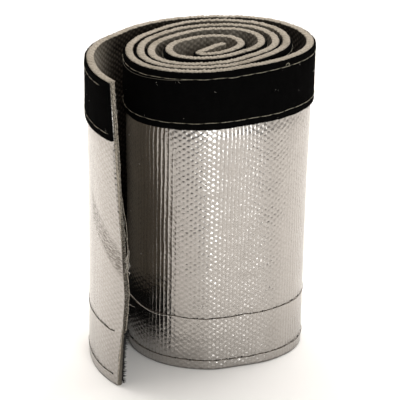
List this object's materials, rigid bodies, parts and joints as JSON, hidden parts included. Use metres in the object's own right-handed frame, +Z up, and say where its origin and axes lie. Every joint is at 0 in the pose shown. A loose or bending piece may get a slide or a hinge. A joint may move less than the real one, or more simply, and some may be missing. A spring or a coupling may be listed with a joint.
{
  "type": "heat shield sleeve",
  "caption": "Strip of foil-faced woven glass cloth with hook and loop tapes sewn along its edges, rolled up loosely, which wraps a hose or pipe against heat.",
  "frame": {"origin": "centre of the roll's footprint, on the surface it stands on", "axes": "+Z up along the axis of the roll, -Y towards the side that the free end stands off in front of, +X to that side's right"},
  "size_m": [0.1044, 0.1026, 0.145],
  "materials": {
    "glass_cloth": "matte woven glass",
    "foil": "satin foil with the weave showing through",
    "loop_pile": "matte brushed pile",
    "hook_pile": "bristly nylon hooks",
    "loop_thread": "twisted thread",
    "hook_thread": "twisted thread"
  },
  "bodies": {
    "root": {"glass_cloth": "glass_cloth", "foil_facing": "foil", "loop_tape": "loop_pile", "hook_tape": "hook_pile", "loop_seam_upper": "loop_thread", "loop_seam_lower": "loop_thread", "hook_seam_upper": "hook_thread", "hook_seam_lower": "hook_thread"}
  },
  "joints": []
}
